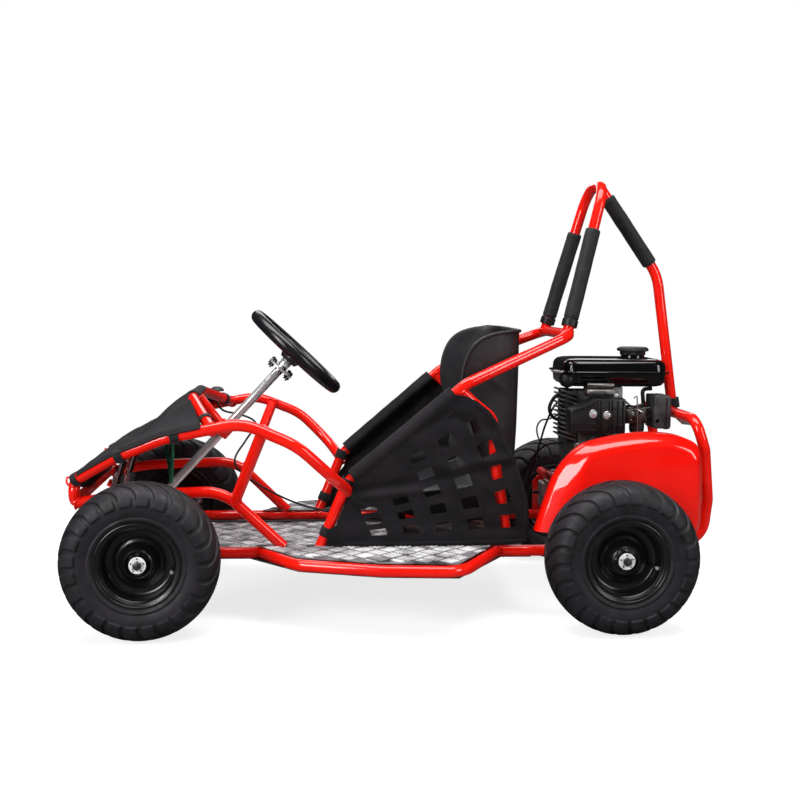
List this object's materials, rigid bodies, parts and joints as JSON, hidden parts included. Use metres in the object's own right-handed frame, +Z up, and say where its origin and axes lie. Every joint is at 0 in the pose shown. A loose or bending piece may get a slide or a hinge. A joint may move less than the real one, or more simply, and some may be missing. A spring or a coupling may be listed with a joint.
{
  "type": "off-road go-kart",
  "caption": "Small petrol off-road go-kart with a bent-tube frame, wide tyres, bucket seat with side nets, cloth nose cover, padded roll hoop and rear engine.",
  "frame": {"origin": "on the ground under the middle of the kart's box", "axes": "+X rearward, so the kart faces -X; -Y the driver's left, +Y the driver's right; +Z up"},
  "size_m": [1.4435, 0.847, 0.9934],
  "materials": {
    "red_paint": "gloss red paint",
    "black_paint": "gloss black paint",
    "black_plastic": "satin black plastic",
    "red_plastic": "gloss red plastic",
    "black_fabric": "woven black polyester",
    "foam": "matt black foam",
    "tyre": "black tyre rubber",
    "rubber": "black cable sheath",
    "chrome": "bright plating",
    "steel": "plated steel",
    "alloy": "cast aluminium",
    "diamond_plate": "raised chequer pattern"
  },
  "bodies": {
    "frame": {"floor_rail_left": "red_paint", "floor_rail_right": "red_paint", "side_bar_left": "red_paint", "side_bar_right": "red_paint", "upper_arch_left": "red_paint", "upper_arch_right": "red_paint", "lower_arch_left": "red_paint", "lower_arch_right": "red_paint", "nose_bumper": "red_paint", "front_axle_beam": "red_paint", "steering_hoop": "red_paint", "seat_hoop": "red_paint", "seat_cradle": "red_paint", "roll_cage": "red_paint", "rear_loop": "red_paint", "engine_mount": "red_paint", "floor_plate": "diamond_plate", "roll_pad_left": "foam", "roll_pad_right": "foam", "brace_pad": "foam", "brake_caliper": "alloy", "drive_chain": "steel", "engine_block": "alloy", "fuel_tank": "black_paint", "muffler": "black_paint", "air_box": "black_plastic", "plug_lead": "rubber", "seat": "black_plastic", "front_cover": "black_fabric", "side_net_left": "black_fabric", "side_net_right": "black_fabric", "fender_left": "red_plastic", "throttle_cable": "rubber", "brake_cable": "rubber", "kill_switch": "red_plastic", "kill_lead": "rubber"},
    "steering": {"steering_column": "chrome", "steering_wheel": "black_plastic"},
    "left_spindle": {"spindle_left": "steel"},
    "right_spindle": {"spindle_right": "steel"},
    "left_tie_rod": {"tie_rod_left": "steel"},
    "right_tie_rod": {"tie_rod_right": "steel"},
    "front_wheel_left": {"front_rim_left": "black_paint", "front_tyre_left": "tyre"},
    "front_wheel_right": {"front_rim_right": "black_paint", "front_tyre_right": "tyre"},
    "rear_wheels": {"rear_axle": "steel", "rear_rim_left": "black_paint", "rear_rim_right": "black_paint", "rear_tyre_left": "tyre", "rear_tyre_right": "tyre", "axle_sprocket": "steel", "brake_disc": "steel"},
    "clutch": {"clutch_drum": "steel"},
    "throttle": {"throttle_pedal": "steel"},
    "brake": {"brake_pedal": "steel"},
    "starter": {"recoil_handle": "black_plastic"},
    "stop_button": {"kill_button": "black_plastic"},
    "filler_cap": {"fuel_cap": "black_plastic"}
  },
  "joints": [
    {"name": "steering_turn", "type": "hinge", "parent": "frame", "child": "steering", "pos_m": [-0.232, 0, 0.582], "axis": [0.6756, 0, 0.7373], "range_deg": [-45, 45]},
    {"name": "left_spindle_turn", "type": "hinge", "parent": "frame", "child": "left_spindle", "pos_m": [-0.548, -0.275, 0.165], "axis": [0, 0, 1], "range_deg": [-22.5, 22.5]},
    {"name": "right_spindle_turn", "type": "hinge", "parent": "frame", "child": "right_spindle", "pos_m": [-0.548, 0.275, 0.165], "axis": [0, 0, 1], "range_deg": [-22.5, 22.5]},
    {"name": "left_tie_rod_eye", "type": "hinge", "parent": "left_spindle", "child": "left_tie_rod", "pos_m": [-0.488, -0.262, 0.18], "axis": [0, 0, 1], "range_deg": [-22.5, 22.5]},
    {"name": "right_tie_rod_eye", "type": "hinge", "parent": "right_spindle", "child": "right_tie_rod", "pos_m": [-0.488, 0.262, 0.18], "axis": [0, 0, 1], "range_deg": [-22.5, 22.5]},
    {"name": "front_wheel_left_roll", "type": "hinge", "parent": "left_spindle", "child": "front_wheel_left", "pos_m": [-0.548, -0.36, 0.165], "axis": [0, 1, 0], "continuous": true},
    {"name": "front_wheel_right_roll", "type": "hinge", "parent": "right_spindle", "child": "front_wheel_right", "pos_m": [-0.548, 0.36, 0.165], "axis": [0, 1, 0], "continuous": true},
    {"name": "rear_axle_roll", "type": "hinge", "parent": "frame", "child": "rear_wheels", "pos_m": [0.468, 0, 0.165], "axis": [0, 1, 0], "continuous": true},
    {"name": "clutch_spin", "type": "hinge", "parent": "frame", "child": "clutch", "pos_m": [0.5, -0.11, 0.362], "axis": [0, 1, 0], "continuous": true},
    {"name": "throttle_press", "type": "hinge", "parent": "frame", "child": "throttle", "pos_m": [-0.655, 0.1, 0.222], "axis": [0, -1, 0], "range_deg": [0, 16], "stiffness_Nm_per_rad": 3, "springref_deg": -11.46},
    {"name": "brake_press", "type": "hinge", "parent": "frame", "child": "brake", "pos_m": [-0.655, -0.1, 0.222], "axis": [0, -1, 0], "range_deg": [0, 16], "stiffness_Nm_per_rad": 4, "springref_deg": -11.46},
    {"name": "starter_pull", "type": "slide", "parent": "frame", "child": "starter", "axis": [0, 0.8, 0.6], "range_m": [0, 0.4], "stiffness_N_per_m": 30, "springref_m": -0.2},
    {"name": "stop_button_press", "type": "slide", "parent": "frame", "child": "stop_button", "axis": [0, 0, -1], "range_m": [0, 0.004], "stiffness_N_per_m": 600, "springref_m": -0.004},
    {"name": "filler_cap_turn", "type": "hinge", "parent": "frame", "child": "filler_cap", "pos_m": [0.582, 0, 0.589], "axis": [0, 0, 1], "range_deg": [0, 90]}
  ],
  "couplings": [
    {"joint": "left_spindle_turn", "follows": "steering_turn", "ratio": 0.5},
    {"joint": "right_spindle_turn", "follows": "steering_turn", "ratio": 0.5},
    {"joint": "left_tie_rod_eye", "follows": "steering_turn", "ratio": -0.5},
    {"joint": "right_tie_rod_eye", "follows": "steering_turn", "ratio": -0.5},
    {"joint": "clutch_spin", "follows": "rear_axle_roll", "ratio": 2.75}
  ]
}
